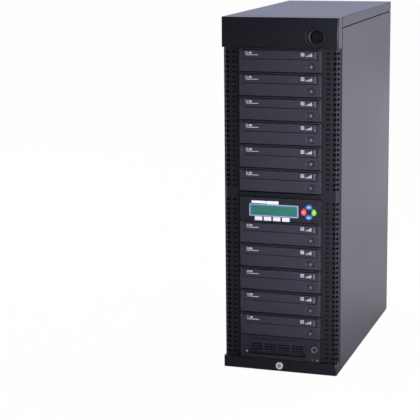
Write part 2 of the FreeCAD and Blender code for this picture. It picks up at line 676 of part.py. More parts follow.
def rack_tray():
    """Open-topped disk tray behind a front with a pocket for the handle and room for fingers below it."""
    panel_back = FACE + RACK_PANEL_THICKNESS
    tray_back = FACE + RACK_TRAY_LENGTH
    low = RACK_TRAY_BOTTOM
    wall = RACK_TRAY_WALL
    panel = box(-RACK_TRAY_LEFT, RACK_TRAY_RIGHT, FACE, panel_back, low, RACK_TRAY_TOP)
    tub = box(-RACK_TRAY_LEFT, RACK_TRAY_RIGHT, panel_back, tray_back, low, low + RACK_SIDE_HEIGHT)
    reach = DISK_WIDTH / 2 + DISK_SIDE_ROOM
    hollow = box(RACK_TRAY_MIDDLE - reach, RACK_TRAY_MIDDLE + reach, panel_back, tray_back - wall,
                 low + wall, RACK_TRAY_TOP)
    pocket_left = -HANDLE_LEFT - HANDLE_GAP
    pocket_right = HANDLE_RIGHT + HANDLE_GAP
    gap_low = HANDLE_BOTTOM - FINGER_GAP
    pocket_back = HANDLE_FRONT + HANDLE_THICKNESS + HANDLE_GAP
    pocket = box(pocket_left, pocket_right, FRONT, pocket_back, gap_low, HANDLE_TOP + HANDLE_GAP)
    grip = box(pocket_left, pocket_right, FRONT, FACE + FINGER_DEPTH, gap_low, HANDLE_BOTTOM + FINGER_GAP / 2)
    pin_reach = HANDLE_GAP + PIN_LENGTH + PIN_GAP
    bores = Part.makeCylinder(PIN_RADIUS + PIN_GAP, HANDLE_LEFT + HANDLE_RIGHT + 2 * pin_reach,
                              vector(-HANDLE_LEFT - pin_reach, HANDLE_AXIS_Y, HANDLE_AXIS_Z), vector(1, 0, 0))
    return without(joined(panel, tub), hollow, pocket, grip, bores)


def rack_handle():
    """Louvred flap with a rounded top that turns on two stub pins."""
    half = HANDLE_THICKNESS / 2
    left = -HANDLE_LEFT
    width = HANDLE_LEFT + HANDLE_RIGHT
    near = vector(left, HANDLE_FRONT, HANDLE_AXIS_Z)
    far = vector(left, HANDLE_FRONT + HANDLE_THICKNESS, HANDLE_AXIS_Z)
    arc = Part.Arc(near, vector(left, HANDLE_AXIS_Y, HANDLE_AXIS_Z + half), far).toShape()
    sides = Part.makePolygon([far, vector(left, HANDLE_FRONT + HANDLE_THICKNESS, HANDLE_BOTTOM),
                              vector(left, HANDLE_FRONT, HANDLE_BOTTOM), near])
    flap = Part.Face(Part.Wire([arc] + sides.Edges)).extrude(vector(width, 0, 0))
    reach = HANDLE_GAP + PIN_LENGTH
    pin_start = vector(left - reach, HANDLE_AXIS_Y, HANDLE_AXIS_Z)
    pins = Part.makeCylinder(PIN_RADIUS, width + 2 * reach, pin_start, vector(1, 0, 0))
    margin = (width - LOUVRE_WINDOWS * LOUVRE_WINDOW_WIDTH) / (LOUVRE_WINDOWS + 1)
    middle = (HANDLE_AXIS_Z - half + HANDLE_BOTTOM) / 2
    slots = []
    for window in range(LOUVRE_WINDOWS):
        x = left + margin + window * (LOUVRE_WINDOW_WIDTH + margin)
        for slot in range(LOUVRE_SLOTS):
            z = middle + (slot - (LOUVRE_SLOTS - 1) / 2) * LOUVRE_PITCH - LOUVRE_SLOT_HEIGHT / 2
            lean = LOUVRE_PITCH - LOUVRE_SLOT_HEIGHT
            slots.append(prism([vector(x, HANDLE_FRONT, z - lean / 2),
                                vector(x, HANDLE_FRONT, z - lean / 2 + LOUVRE_SLOT_HEIGHT),
                                vector(x, HANDLE_FRONT + HANDLE_THICKNESS, z + lean / 2 + LOUVRE_SLOT_HEIGHT),
                                vector(x, HANDLE_FRONT + HANDLE_THICKNESS, z + lean / 2)],
                               vector(LOUVRE_WINDOW_WIDTH, 0, 0)))
    return without(joined(flap, pins), *slots)


def hard_disk():
    left = RACK_TRAY_MIDDLE - DISK_WIDTH / 2
    right = RACK_TRAY_MIDDLE + DISK_WIDTH / 2
    near = FACE + DISK_SET_BACK
    low = RACK_TRAY_BOTTOM + RACK_TRAY_WALL
    lid_bottom = low + DISK_HEIGHT - DISK_LID_HEIGHT
    body = box(left, right, near, near + DISK_LENGTH, low, lid_bottom)
    lid = box(left + DISK_LID_INSET, right - DISK_LID_INSET, near + DISK_LID_INSET,
              near + DISK_LENGTH - DISK_LID_INSET, lid_bottom, low + DISK_HEIGHT)
    return joined(body, lid)


def inlet_prism(grow, y0, y1):
    """Mains inlet outline, a rectangle with two cut corners, grown by a wall."""
    half_x = INLET_WIDTH / 2 + grow
    half_z = INLET_HEIGHT / 2 + grow
    outline = [
        vector(INLET_X - half_x, y0, INLET_Z - half_z),
        vector(INLET_X + half_x, y0, INLET_Z - half_z),
        vector(INLET_X + half_x, y0, INLET_Z + half_z - INLET_CORNER),
        vector(INLET_X + half_x - INLET_CORNER, y0, INLET_Z + half_z),
        vector(INLET_X - half_x + INLET_CORNER, y0, INLET_Z + half_z),
        vector(INLET_X - half_x, y0, INLET_Z + half_z - INLET_CORNER),
    ]
    return prism(outline, vector(0, y1 - y0, 0))


def rocker_block(grow, depth):
    half_x = ROCKER_WIDTH / 2 + ROCKER_GAP + grow
    half_z = ROCKER_RADIUS + ROCKER_GAP + grow
    return box(ROCKER_X - half_x, ROCKER_X + half_x, PSU_BACK - depth, PSU_BACK,
               INLET_Z - half_z, INLET_Z + half_z)


def power_supply():
    """Sheet box with cooling slots, a three-pin mains inlet and the well of the rocker switch."""
    half = PSU_WIDTH / 2
    near = PSU_BACK - PSU_LENGTH
    shell = box(-half, half, near, PSU_BACK, PAN_TOP, PAN_TOP + PSU_HEIGHT)
    hollow = box(-half + PSU_WALL, half - PSU_WALL, near + PSU_WALL, PSU_BACK - PSU_WALL,
                 PAN_TOP + PSU_WALL, PAN_TOP + PSU_HEIGHT - PSU_WALL)
    inlet_back = PSU_BACK - INLET_DEPTH
    well_depth = ROCKER_PIVOT_DEPTH + ROCKER_RADIUS + ROCKER_GAP
    case = joined(without(shell, hollow), inlet_prism(INLET_WALL, inlet_back - INLET_WALL, PSU_BACK),
                  rocker_block(INLET_WALL, well_depth + INLET_WALL))
    slots = slot_rows(PSU_VENT_X, PAN_TOP + PSU_HEIGHT / 2, PSU_VENT_ROWS, PSU_VENT_PITCH, PSU_VENT_HEIGHT,
                      lambda rise: PSU_VENT_WIDTH / 2)
    case = without(case, inlet_prism(0, inlet_back, PSU_BACK), rocker_block(0, well_depth), *slots)
    pins = []
    for step in (-1, 0, 1):
        x = INLET_X + step * INLET_PIN_SPREAD
        z = INLET_Z + (INLET_PIN_OFFSET if step == 0 else -INLET_PIN_OFFSET)
        side = x - INLET_PIN_WIDTH / 2
        pins.append(box(side, side + INLET_PIN_WIDTH, inlet_back, inlet_back + INLET_PIN_LENGTH,
                        z - INLET_PIN_HEIGHT / 2, z + INLET_PIN_HEIGHT / 2))
    return joined(case, *pins)


def power_rocker():
    """Rocker with a valley across its face, tipped to one side at rest."""
    pivot_y = PSU_BACK - ROCKER_PIVOT_DEPTH
    x0 = ROCKER_X - ROCKER_WIDTH / 2
    drum = Part.makeCylinder(ROCKER_RADIUS, ROCKER_WIDTH, vector(x0, pivot_y, INLET_Z), vector(1, 0, 0))
    valley = PSU_BACK - ROCKER_VALLEY_DEPTH
    rise = ROCKER_RADIUS * math.tan(math.radians(ROCKER_TILT))
    far = pivot_y + 2 * ROCKER_RADIUS
    outside = prism([vector(x0, valley, INLET_Z),
                     vector(x0, valley + rise, INLET_Z + ROCKER_RADIUS),
                     vector(x0, far, INLET_Z + ROCKER_RADIUS),
                     vector(x0, far, INLET_Z - ROCKER_RADIUS),
                     vector(x0, valley + rise, INLET_Z - ROCKER_RADIUS)], vector(ROCKER_WIDTH, 0, 0))
    rocker = without(drum, outside)
    rocker.rotate(vector(ROCKER_X, pivot_y, INLET_Z), vector(1, 0, 0), ROCKER_TILT)
    return rocker


def fan_frame():
    """Square frame with a bore, and a motor plate on four struts at the outlet."""
    half = FAN_SIZE / 2
    near = CHASSIS_BACK - FAN_DEPTH
    motor_front = CHASSIS_BACK - FAN_MOTOR_THICKNESS
    frame = box(-half, half, near, CHASSIS_BACK, FAN_LEVEL - half, FAN_LEVEL + half)
    frame = frame.cut(rod(FAN_BORE_RADIUS, 0, near, CHASSIS_BACK, FAN_LEVEL))
    plate = FAN_HUB_RADIUS
    motor = box(-plate, plate, motor_front, CHASSIS_BACK, FAN_LEVEL - plate, FAN_LEVEL + plate)
    strut = FAN_STRUT_WIDTH / 2
    struts = [box(-half, half, motor_front, CHASSIS_BACK, FAN_LEVEL - strut, FAN_LEVEL + strut),
              box(-strut, strut, motor_front, CHASSIS_BACK, FAN_LEVEL - half, FAN_LEVEL + half)]
    bearing = rod(FAN_SHAFT_RADIUS + RUNNING_GAP, 0, motor_front, CHASSIS_BACK, FAN_LEVEL)
    return without(joined(frame, motor, *struts), bearing)


def fan_rotor():
    """Hub and pitched blades on a stub shaft that runs in the motor plate."""
    back = CHASSIS_BACK - FAN_MOTOR_THICKNESS - RUNNING_GAP
    near = back - FAN_ROTOR_DEPTH
    tip = FAN_BORE_RADIUS - FAN_TIP_GAP
    hub = rod(FAN_HUB_RADIUS, 0, near, back, FAN_LEVEL)
    shaft = rod(FAN_SHAFT_RADIUS, 0, back, back + FAN_MOTOR_THICKNESS, FAN_LEVEL)
    disc = rod(tip, 0, near, back, FAN_LEVEL)
    thin = FAN_BLADE_THICKNESS / 2
    blades = []
    for count in range(FAN_BLADES):
        blade = box(0, FAN_BORE_RADIUS, -FAN_BORE_RADIUS, FAN_BORE_RADIUS, -thin, thin)
        blade.rotate(vector(0, 0, 0), vector(1, 0, 0), FAN_BLADE_PITCH)
        blade.rotate(vector(0, 0, 0), vector(0, 1, 0), count * 360 / FAN_BLADES)
        blade.translate(vector(0, (near + back) / 2, FAN_LEVEL))
        blades.append(blade.common(disc))
    return joined(hub, shaft, *blades)


os.makedirs("parts", exist_ok=True)

panel = right_side_panel()
cage_wall = right_cage_wall()
column = right_bezel_column()
save("base_pan", base_pan())
save("top_cover", top_cover())
save("right_side_panel", panel)
save("left_side_panel", mirror_x(panel))
save("right_cage_wall", cage_wall)
save("left_cage_wall", mirror_x(cage_wall))
save("rear_panel", rear_panel())
save("supply_plate", supply_plate())
save("feet", *feet())

save("bezel_cap", bezel_cap())
save("right_bezel_column", column)
save("left_bezel_column", mirror_x(column))
save("bezel_mid_bar", bezel_mid_bar())
save("bezel_sill", bezel_sill())
save("power_button", power_button())
save("sill_key_lock", key_lock(0, FRONT, SILL_LOCK_Z))

save("upper_drive_bezels", *[drive_bezel(level) for level in DRIVE_LEVELS[:UPPER_DRIVES]])
save("lower_drive_bezels", *[drive_bezel(level) for level in DRIVE_LEVELS[UPPER_DRIVES:]])
save("drive_casings", *[drive_casing(level) for level in DRIVE_LEVELS])
for number, level in enumerate(DRIVE_LEVELS, 1):
    save("drive_%02d_tray" % number, *drive_tray(level))
    save("drive_%02d_button" % number, eject_button(level))

save("control_fascia", control_fascia())
save("display_frame", display_frame())
save("lcd_screen", lcd_screen())
save("controller_board", controller_board())
for name, turn in KEY_TURNS.items():
    save(name, key(turn))

save("rack_frame", rack_frame())
save("rack_tray", rack_tray())
save("rack_handle", rack_handle())
save("rack_key_lock", key_lock(RACK_LOCK_X, FACE, RACK_TOP - RACK_LOCK_DROP))
save("hard_disk", hard_disk())

save("power_supply", power_supply())
save("power_rocker", power_rocker())
save("fan_frame", fan_frame())
save("fan_rotor", fan_rotor())
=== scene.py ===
import bmesh
import bpy
import math
from mathutils import Matrix, Vector


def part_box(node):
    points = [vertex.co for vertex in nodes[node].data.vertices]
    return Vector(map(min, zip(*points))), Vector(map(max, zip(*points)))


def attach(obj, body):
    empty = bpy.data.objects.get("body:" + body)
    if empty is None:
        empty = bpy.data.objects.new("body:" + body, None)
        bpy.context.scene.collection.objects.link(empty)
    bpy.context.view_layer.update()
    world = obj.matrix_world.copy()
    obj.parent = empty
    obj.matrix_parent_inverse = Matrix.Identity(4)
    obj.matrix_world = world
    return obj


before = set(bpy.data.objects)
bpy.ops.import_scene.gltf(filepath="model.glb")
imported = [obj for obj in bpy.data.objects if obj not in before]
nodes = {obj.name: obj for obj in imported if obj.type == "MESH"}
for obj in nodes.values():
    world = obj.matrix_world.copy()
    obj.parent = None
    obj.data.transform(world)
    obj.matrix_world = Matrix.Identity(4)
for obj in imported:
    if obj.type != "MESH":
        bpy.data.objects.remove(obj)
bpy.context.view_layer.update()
MM = 0.001


def span(node):
    """Lower and upper corner of a solid, in millimetres."""
    low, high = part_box(node)
    return low / MM, high / MM


def middle(node):
    """Middle of a solid, in millimetres."""
    low, high = span(node)
    return (low + high) / 2


# Levels and planes of the tower, in millimetres, read from the solids
BAY = 42.5
FACE = span("upper_drive_bezels")[0].y
DRIVE_TOPS = [span("upper_drive_bezels")[1].z - BAY * row for row in range(6)]
DRIVE_TOPS += [span("lower_drive_bezels")[1].z - BAY * row for row in range(5)]
LOWER_TOP = DRIVE_TOPS[6]
UPPER_START = LOWER_TOP + 30.0
DOOR_FACE = span("drive_01_tray")[0].y
DOOR_BACK = DOOR_FACE + 4.02
SEAT_MIDDLE = DOOR_FACE + 69.0
SEAT_RADIUS = 60
PANEL_FACE = span("control_fascia")[0].y
CONTROL_TOP = span("control_fascia")[1].z
RACK_FACE = span("rack_frame")[0].y
RACK_TOP = span("rack_frame")[1].z
REAR_FACE = span("rear_panel")[1].y
COLUMN_FACE = span("right_bezel_column")[0].y
COLUMN_BACK = span("right_bezel_column")[1].y
HALF_WIDTH = span("right_bezel_column")[1].x
FLANK = HALF_WIDTH - 0.05
INLET = (-67.4, -9.6, 55.4, 79.0)

# Small sizes, in millimetres: the crease of a drive front and its lip, the band darkened by painted
# shade, the wall of a column, the foam seals that stand in for the shade in gaps, and how far
# prints, labels and turned shapes stand out of a face or reach into it
CREASE_DROP = 29.0
CREASE_SLOPE = 0.1
LIP = 4.1
LIP_START = 0.5
COLUMN_WALL = 2.6
SLIT = 1.9
GROOVE_DEPTH = 0.6
SHADE_FOAM_PLAY = 0.02
SINK = 0.02
INK = 0.04
KEY_INK = 0.05
LABEL = 0.14
ROOT = -0.05

# Grain of the plastics, in millimetres
SPARK = 0.6
CLOUD = 45

# Softened edges: points closer than this are one, in millimetres, then angles in degrees
WELD = 0.02
FLAT_ANGLE = 0.5
SHARP_ANGLE = 35


class Value:
    """A number on a surface: a socket of one finish that takes part in Python sums."""

    def __init__(self, finish, socket):
        self.finish = finish
        self.socket = socket

    def maths(self, operation, first, second=0.0):
        return self.finish.node("Math", {"operation": operation}, {0: first, 1: second})

    def __add__(self, other):
        return self.maths("ADD", self, other)

    __radd__ = __add__

    def __sub__(self, other):
        return self.maths("SUBTRACT", self, other)

    def __rsub__(self, other):
        return self.maths("SUBTRACT", other, self)

    def __mul__(self, other):
        return self.maths("MULTIPLY", self, other)

    __rmul__ = __mul__

    def __mod__(self, other):
        return self.maths("FLOORED_MODULO", self, other)

    def __lt__(self, other):
        return self.maths("LESS_THAN", self, other)

    def __gt__(self, other):
        return self.maths("GREATER_THAN", self, other)

    def __abs__(self):
        return self.maths("ABSOLUTE", self)

    def __pow__(self, other):
        return self.maths("POWER", self, other)


class Finish:
    """One material, with the nodes that give its colour, gloss and relief."""

    def __init__(self, name, **sockets):
        self.material = bpy.data.materials.new(name)
        self.material.use_nodes = True
        self.tree = self.material.node_tree
        self.shader = self.tree.nodes["Principled BSDF"]
        self.fill(self.shader, sockets)
        self.place = self.node("TexCoord", output="Object")
        parts = self.node("SeparateXYZ", {}, {0: self.place}).socket.node
        self.x, self.y, self.z = [Value(self, out) * (1 / MM) for out in parts.outputs]

    def fill(self, node, sockets):
        """Links a Value to each named socket, or sets the socket to a number or a colour."""
        for key, value in sockets.items():
            socket = node.inputs[key.replace("_", " ") if isinstance(key, str) else key]
            if isinstance(value, Value):
                self.tree.links.new(value.socket, socket)
            elif hasattr(socket.default_value, "__len__") and not hasattr(value, "__len__"):
                socket.default_value = [value] * len(socket.default_value)
            elif hasattr(value, "__len__") and len(value) < len(socket.default_value):
                socket.default_value = [*value, 1.0]
            else:
                socket.default_value = value

    def node(self, kind, settings=None, sockets=None, output=0):
        """New node of a kind, as the Value of one of its outputs."""
        made = self.tree.nodes.new("ShaderNode" + kind)
        for key, value in (settings or {}).items():
            setattr(made, key, value)
        self.fill(made, sockets or {})
        return Value(self, made.outputs[output])

    def set(self, **sockets):
        self.fill(self.shader, sockets)

    def noise(self, grain, detail=2.0, stretch=None):
        """Noise from 0 to 1 whose grain is given in millimetres."""
        where = self.place
        if stretch:
            where = self.node("VectorMath", {"operation": "MULTIPLY"}, {0: where, 1: stretch})
        scale = 1 / (grain * MM)
        return self.node("TexNoise", {}, {"Vector": where, "Scale": scale, "Detail": detail})

    def cells(self, size, feature="F1", output="Distance", distance="EUCLIDEAN"):
        """Cells of a size in millimetres."""
        settings = {"feature": feature, "distance": distance}
        sockets = {"Vector": self.place, "Scale": 1 / (size * MM)}
        return self.node("TexVoronoi", settings, sockets, output)

    def mix(self, factor, low, high):
        """Colour that goes from low to high as the factor goes from 0 to 1."""
        return self.node("Mix", {"data_type": "RGBA"}, {0: factor, 6: low, 7: high}, 2)

    def relief(self, height, depth, strength=1.0):
        """Bump from a height of 0 to 1 that stands for a depth in millimetres."""
        sockets = {"Height": height, "Distance": depth * MM, "Strength": strength}
        self.set(Normal=self.node("Bump", {}, sockets))
        return self


def colour(red, green, blue):
    """Linear colour of a screen colour in 0 to 255."""
    def linear(channel):
        part = channel / 255
        return part / 12.92 if part <= 0.04045 else ((part + 0.055) / 1.055) ** 2.4
    return [linear(red), linear(green), linear(blue)]


# Tint of the gloss on paint and plastics, and the two tones of the drive fronts
COOL = (0.80, 0.82, 1.0)
DRIVE_TONES = colour(40, 40, 48), colour(50, 50, 60)


def satin_paint():
    """Powder-coated sheet: near-black with a fine orange peel."""
    paint = Finish("satin_paint", Specular_Tint=COOL)
    peel = paint.noise(1.1, 3.0)
    cloud = paint.noise(160, 3.0)
    paint.set(Base_Color=paint.mix(cloud, colour(36, 34, 44), colour(48, 46, 58)))
    paint.set(Roughness=0.31 + 0.10 * peel + 0.06 * cloud)
    return paint.relief(peel, 0.05, 0.35).material


def moulded_plastic(name, dark, pale, gloss, shine=0.5, grain=SPARK, depth=0.03):
    """Moulded plastic with a spark-eroded grain and faint flow clouds."""
    plastic = Finish(name, Specular_IOR_Level=shine, Specular_Tint=COOL)
    plastic.spark = plastic.noise(grain)
    plastic.cloud = plastic.noise(CLOUD)
    plastic.skin = plastic.mix(0.7 * plastic.cloud + 0.3 * plastic.spark, dark, pale)
    plastic.set(Base_Color=plastic.skin)
    plastic.set(Roughness=gloss + 0.16 * plastic.spark - 0.05 * plastic.cloud)
    return plastic.relief(plastic.spark, depth, 0.4)


def drive_plastic():
    """Plastic of the drive fronts, duller on the narrow lip above each door, which painted shade
    darkens.
    """
    plastic = moulded_plastic("drive_plastic", *DRIVE_TONES, 0.36, 0.30)
    upper = plastic.z > UPPER_START
    start = DRIVE_TOPS[0] * upper + LOWER_TOP * (1 - upper)
    # Painted shade: the band of the lip above each door is made darker
    shaded_lip = ((start - plastic.z + LIP_START) % BAY) < LIP_START + LIP
    plastic.set(Base_Color=plastic.mix(shaded_lip, plastic.skin, colour(24, 24, 29)))
    plastic.set(Roughness=0.36 + 0.16 * plastic.spark + 0.15 * shaded_lip)
    return plastic.material


def column_plastic():
    """Plastic of the columns, coarsely grained and dull on their outer flanks, which painted shade
    darkens.
    """
    plastic = moulded_plastic("column_plastic", colour(13, 13, 16), colour(20, 20, 25), 0.38)
    # Painted shade: the outer flank of each column is made near-black
    shaded_flank = abs(plastic.x) > FLANK
    plastic.set(Base_Color=plastic.mix(shaded_flank, plastic.skin, colour(8, 8, 10)))
    plastic.set(Roughness=0.38 + 0.16 * plastic.spark + 0.4 * shaded_flank)
    return plastic.material


def tray_plastic():
    """Dark tray moulding with the fine turned rings of the disc seat, and a door like the drive."""
    plastic = moulded_plastic("tray_plastic", *DRIVE_TONES, 0.36, 0.30)
    door = plastic.y < DOOR_BACK
    inside = plastic.mix(plastic.cloud, colour(26, 26, 31), colour(36, 36, 42))
    outside = plastic.mix(plastic.cloud, *DRIVE_TONES)
    plastic.set(Base_Color=plastic.mix(door, inside, outside))
    pitch = 1.2
    radius = (plastic.x ** 2 + (plastic.y - SEAT_MIDDLE) ** 2) ** 0.5
    ring = abs(radius % pitch - pitch / 2) * (radius < SEAT_RADIUS) * (1 - door)
    return plastic.relief(ring + 0.3 * plastic.spark, 0.04, 0.4).material


def glossy_button():
    """Polished black plastic, smeared by fingers."""
    plastic = Finish("glossy_button", Specular_IOR_Level=0.15, Specular_Tint=COOL)
    smear = plastic.noise(6, 4.0)
    plastic.set(Base_Color=plastic.mix(smear, colour(16, 16, 19), colour(24, 24, 28)))
    plastic.set(Roughness=0.16 + 0.16 * smear)
    return plastic.relief(plastic.noise(14), 0.05, 0.3).material


def zinc_sheet(name, moulding=None):
    """Galvanised sheet with crystal spangle and rolling streaks, and a black moulding set in it."""
    zinc = Finish(name)
    tone = zinc.node("SeparateColor", {}, {0: zinc.cells(5, output="Color")})
    streak = zinc.noise(1.6, 2.0, (1.0, 1.0, 0.06))
    skin = zinc.mix(0.5 * tone + 0.5 * streak, colour(160, 163, 168), colour(184, 187, 192))
    shine = 0.9
    if moulding:
        left, right, bottom, top = moulding
        black = (zinc.x > left) * (zinc.x < right) * (zinc.z > bottom) * (zinc.z < top)
        zinc.set(Base_Color=zinc.mix(black, skin, colour(20, 20, 23)))
        zinc.set(Metallic=shine * (1 - black))
    else:
        zinc.set(Base_Color=skin, Metallic=shine)
    zinc.set(Roughness=0.36 + 0.10 * tone + 0.10 * streak)
    return zinc.relief(streak, 0.02, 0.3).material


def liquid_crystal():
    """Green display glass with two faint rows of sixteen characters of five by eight dots."""
    glass = Finish("liquid_crystal", Specular_IOR_Level=0.25, Coat_Weight=0.1, Coat_Roughness=0.04)
    low, high = span("lcd_screen")
    columns, rows = 16, 2
    side, end = 4.0, 2.0
    filled, gap = 0.84, 0.16
    wide = (high.x - low.x - 2 * side) / columns
    tall = (high.z - low.z - 2 * end) / rows
    x = glass.x - (low.x + side)
    z = glass.z - (low.z + end)
    inside = (x > 0) * (x < columns * wide) * (z > 0) * (z < rows * tall)
    dot_x = wide * filled / 5
    dot_z = tall * filled / 8
    cell_x = x % wide
    cell_z = z % tall
    dots = (cell_x < wide * filled) * (cell_z < tall * filled)
    dots = dots * ((cell_x % dot_x) > dot_x * gap) * ((cell_z % dot_z) > dot_z * gap)
    lit = glass.mix(glass.noise(14, 1.0), colour(42, 95, 86), colour(56, 115, 104))
    glass.set(Base_Color=glass.mix(0.35 * dots * inside, lit, colour(24, 76, 68)))
    glass.set(Roughness=0.22 + 0.1 * glass.noise(0.8))
    return glass.material


def lock_chrome(name, groove=None):
    """Bright plating, slightly milky from wear, with a darker ring where a lock's plug has its
    groove.
    """
    chrome = Finish(name, Metallic=0.5)
    wear = chrome.noise(1.4, 4.0)
    tone = chrome.mix(wear, colour(206, 208, 214), colour(240, 241, 244))
    if groove:
        x, z, inner, outer = groove
        radius = ((chrome.x - x) ** 2 + (chrome.z - z) ** 2) ** 0.5
        tone = chrome.mix((inner < radius) * (radius < outer), tone, colour(66, 66, 74))
    chrome.set(Base_Color=tone, Roughness=0.16 + 0.22 * wear)
    return chrome.relief(chrome.noise(0.4), 0.01, 0.25).material


def dark_lock():
    """Blackened lock metal, worn to bright specks."""
    metal = Finish("dark_lock", Metallic=0.6)
    wear = metal.noise(0.9, 4.0)
    metal.set(Base_Color=metal.mix(wear ** 2, colour(26, 26, 31), colour(96, 96, 104)))
    metal.set(Roughness=0.26 + 0.2 * wear)
    return metal.relief(metal.noise(0.4), 0.01, 0.25).material


def filter_foam():
    """Open-cell foam, nearly black."""
    foam = Finish("filter_foam", Roughness=1.0, Specular_IOR_Level=0.1)
    pore = foam.cells(0.9)
    foam.set(Base_Color=foam.mix(pore, colour(3, 3, 4), colour(13, 13, 15)))
    return foam.relief(pore, 0.4, 0.8).material


def foot_rubber():
    """Dull black rubber with a coarse grain."""
    rubber = Finish("foot_rubber")
    grain = rubber.noise(0.8, 4.0)
    rubber.set(Base_Color=rubber.mix(grain, colour(18, 18, 19), colour(38, 38, 40)))
    rubber.set(Roughness=0.75 + 0.15 * grain)
    return rubber.relief(grain, 0.12, 0.6).material


def circuit_board():
    """Green solder mask over copper tracks, with tinned pads."""
    board = Finish("circuit_board", Coat_Weight=0.3)
    track = board.cells(5, "DISTANCE_TO_EDGE", distance="MANHATTAN") < 0.08
    pad = board.cells(4) < 0.16
    mask = board.mix(track, colour(14, 62, 34), colour(32, 100, 58))
    board.set(Base_Color=board.mix(pad, mask, colour(190, 186, 170)))
    board.set(Metallic=0.8 * pad, Roughness=0.32 + 0.1 * board.noise(2))
    return board.relief(track, 0.04, 0.5).material


def cast_alloy():
    """Cast housing of the hard disk, with a sandy skin."""
    alloy = Finish("cast_alloy", Metallic=0.85)
    sand = alloy.noise(0.7, 4.0)
    alloy.set(Base_Color=alloy.mix(sand, colour(120, 122, 126), colour(168, 170, 174)))
    alloy.set(Roughness=0.38 + 0.2 * sand)
    return alloy.relief(sand, 0.06, 0.5).material


def printed_ink(name, thin, full):
    """Screen-printed ink, a little uneven where the screen's mesh shows."""
    ink = Finish(name)
    cover = ink.noise(0.35)
    ink.set(Base_Color=ink.mix(cover, thin, full), Roughness=0.55 + 0.15 * cover)
    return ink.relief(cover, 0.01, 0.3).material


def lamp_lens(name, edge, heart, glow):
    """Tinted lamp lens that glows a little in the middle of its moulded swirl."""
    lens = Finish(name, Coat_Weight=0.8, Coat_Roughness=0.03, Emission_Strength=glow)
    swirl = lens.noise(1.2, 3.0)
    tint = lens.mix(swirl, edge, heart)
    lens.set(Base_Color=tint, Emission_Color=tint, Roughness=0.12 + 0.1 * swirl)
    return lens.material


def new_piece(name, tool, body, finish):
    """Object from a mesh under construction, riding on a body of the tower."""
    bmesh.ops.recalc_face_normals(tool, faces=tool.faces)
    mesh = bpy.data.meshes.new(name)
    tool.to_mesh(mesh)
    tool.free()
    mesh.materials.append(finish)
    piece = bpy.data.objects.new(name, mesh)
    bpy.context.scene.collection.objects.link(piece)
    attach(piece, body)


def rounded(x0, x1, z0, z1, radius, steps=4):
    """Outline of a rectangle with round corners."""
    outline = []
    corners = ((x1, z1, 0), (x0, z1, 90), (x0, z0, 180), (x1, z0, 270))
    for x, z, start in corners:
        centre_x = x - radius if x == x1 else x + radius
        centre_z = z - radius if z == z1 else z + radius
        for step in range(steps + 1):
            angle = math.radians(start + 90 * step / steps)
            across, up = radius * math.cos(angle), radius * math.sin(angle)
            outline.append((centre_x + across, centre_z + up))
    return outline


def circle(x, z, radius, sides=24):
    """Outline of a circle."""
    turns = [2 * math.pi * side / sides for side in range(sides)]
    return [(x + radius * math.cos(turn), z + radius * math.sin(turn)) for turn in turns]


def band(tool, first, second):
    """Faces between two loops with the same number of corners."""
    for side in range(len(first)):
        after = (side + 1) % len(first)
        tool.faces.new((first[side], first[after], second[after], second[side]))


def slab(tool, outline, face, proud, hole=None, bottom=None):
    """Thin closed shape on a front face, with a hole, or with a pit whose bottom is given."""
    def loop(points, stand):
        return [tool.verts.new((x * MM, (face - stand) * MM, z * MM)) for x, z in points]

    top = loop(outline, proud)
    base = loop(outline, -SINK)
    band(tool, base, top)
    if not hole:
        tool.faces.new(top)
        tool.faces.new(base)
        return
    inner = loop(hole, proud)
    band(tool, top, inner)
    if bottom is None:
        inner_base = loop(hole, -SINK)
        band(tool, inner, inner_base)
        band(tool, inner_base, base)
    else:
        pit_floor = loop(hole, bottom)
        band(tool, inner, pit_floor)
        tool.faces.new(pit_floor)
        tool.faces.new(base)


def turned(tool, x, z, face, profile, sides=24, facing=-1):
    """Closed turned shape on a face, from (radius, height) pairs from its rim to its middle."""
    rings = []
    for radius, height in profile:
        y = (face + facing * height) * MM
        points = circle(x, z, radius, sides) if radius else [(x, z)]
        rings.append([tool.verts.new((px * MM, y, pz * MM)) for px, pz in points])
    for first, second in zip(rings, rings[1:]):
        if len(second) > 1:
            band(tool, first, second)
        else:
            for side in range(sides):
                tool.faces.new((first[side], first[(side + 1) % sides], second[0]))
    if len(rings[-1]) > 1:
        band(tool, rings[-1], rings[0])
    else:
        tool.faces.new(rings[0])


def digits(tool, text, height, x, z, face, proud, bold=0.0):
    """Plain numerals, standing on a front face with their lower left corner at x and z."""
    figure_height = 0.69
    curve = bpy.data.curves.new("numerals", "FONT")
    curve.body = text
    curve.size = height * MM / figure_height
    curve.extrude = proud * MM
    curve.offset = bold * MM
    holder = bpy.data.objects.new("numerals", curve)
    mesh = bpy.data.meshes.new_from_object(holder)
    upright = ((1, 0, 0, x * MM), (0, 0, -1, face * MM), (0, 1, 0, z * MM), (0, 0, 0, 1))
    mesh.transform(Matrix(upright))
    tool.from_mesh(mesh)
    bmesh.ops.remove_doubles(tool, verts=tool.verts, dist=0.0001 * MM)
    bpy.data.objects.remove(holder)
    bpy.data.curves.remove(curve)
    bpy.data.meshes.remove(mesh)


def cross_head(tool, x, z, face, radius, height, facing):
    """Low screw head with a washer edge and a dished drive recess."""
    shape = ((1, 0.35), (0.94, 0.55), (0.72, 0.6), (0.66, 1), (0.3, 1), (0.22, 0.35), (0, 0.25))
    profile = [(radius, ROOT)] + [(radius * out, height * up) for out, up in shape]
    turned(tool, x, z, face, profile, 24, facing)


def drive_face(z):
    """Depth of a drive front, which leans back below its crease."""
    top = min((level for level in DRIVE_TOPS if level >= z), default=DRIVE_TOPS[0])
    return FACE + max(0.0, top - z - CREASE_DROP) * CREASE_SLOPE


